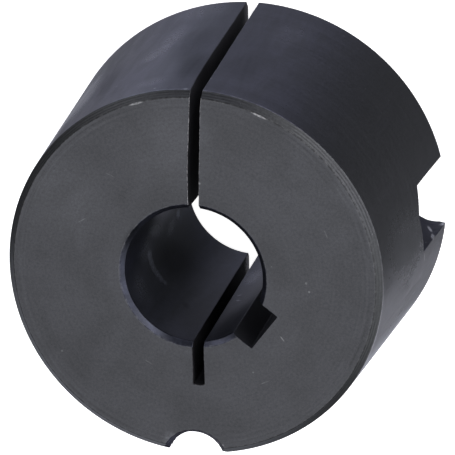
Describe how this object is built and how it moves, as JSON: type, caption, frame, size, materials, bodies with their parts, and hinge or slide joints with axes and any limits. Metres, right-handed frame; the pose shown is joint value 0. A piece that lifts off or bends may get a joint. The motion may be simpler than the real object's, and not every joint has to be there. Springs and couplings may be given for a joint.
{
  "type": "taper bush",
  "caption": "Split taper bush with a keyed bore: screws in half-holes on its taper draw it into a hub, and it closes on the shaft.",
  "frame": {"origin": "on the bore axis at the large end face, which the bush stands on", "axes": "+Z along the bore axis towards the small end; +Y through the slit; +X to the right seen from the small end with the slit at the top"},
  "size_m": [0.0568, 0.0568, 0.0381],
  "materials": {
    "blackened_iron": "black phosphate over turned grey iron, satin, with fine concentric turning lines"
  },
  "bodies": {
    "root": {"taper_bush": "blackened_iron"}
  },
  "joints": []
}
